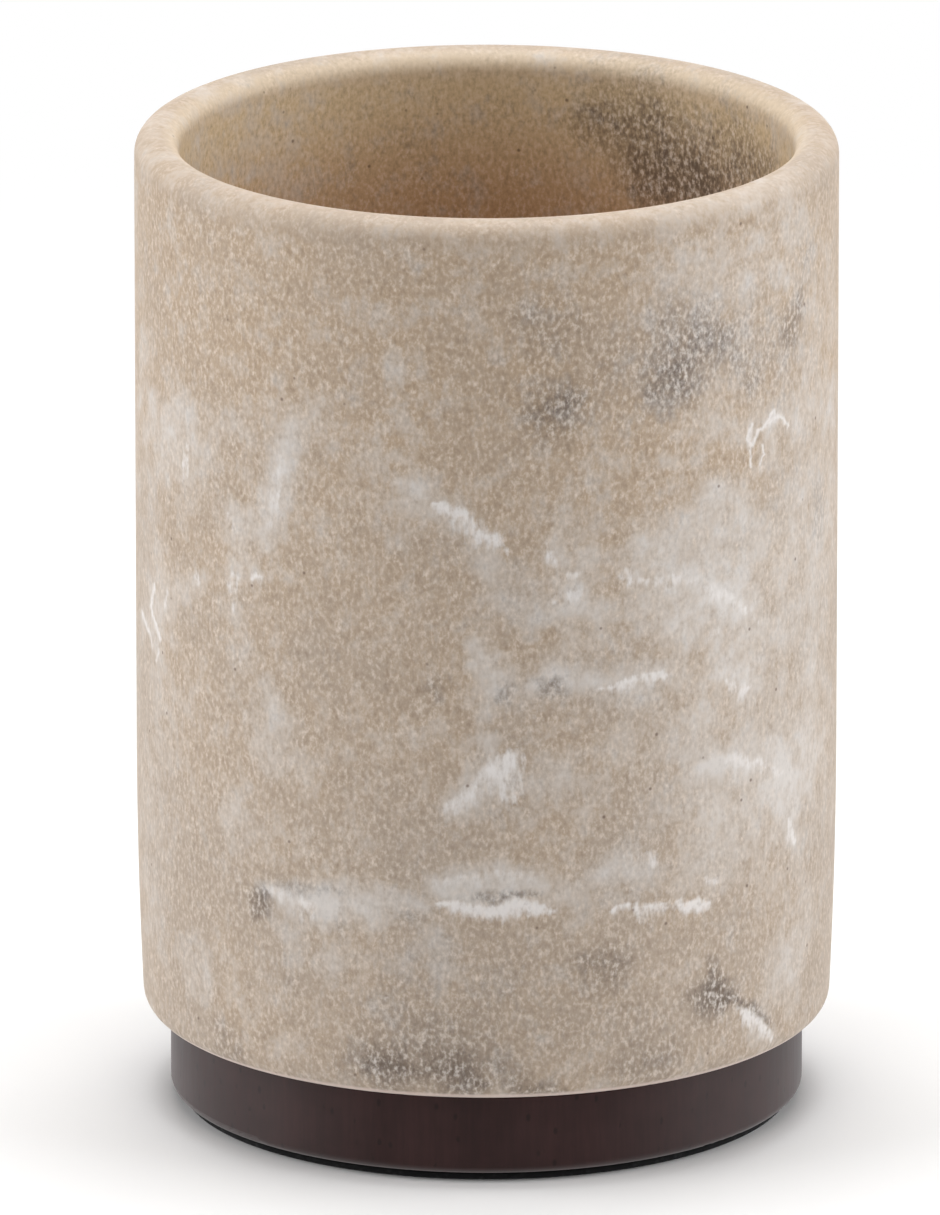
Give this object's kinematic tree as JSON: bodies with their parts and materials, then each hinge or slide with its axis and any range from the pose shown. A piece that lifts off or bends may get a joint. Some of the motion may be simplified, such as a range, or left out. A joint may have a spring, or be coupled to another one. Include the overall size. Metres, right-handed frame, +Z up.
{
  "type": "bathroom tumbler",
  "caption": "Straight-sided round tumbler in marbled sandstone-look resin with a thick rounded lip, standing on a slightly smaller dark stained wooden plinth.",
  "frame": {"origin": "middle of the foam pad's underside, on the surface that the tumbler stands on", "axes": "+Z up along the cup's axis; the tumbler is round, and -Y is the side that the picture shows"},
  "size_m": [0.076, 0.076, 0.1081],
  "materials": {
    "stone_resin": "matte",
    "stained_wood": "satin",
    "epoxy": "gloss",
    "adhesive": "satin",
    "foam": "matte"
  },
  "bodies": {
    "root": {"cup": "stone_resin", "plinth": "stained_wood", "epoxy_bed": "epoxy", "pad_film": "adhesive", "foam_pad": "foam"}
  },
  "joints": []
}
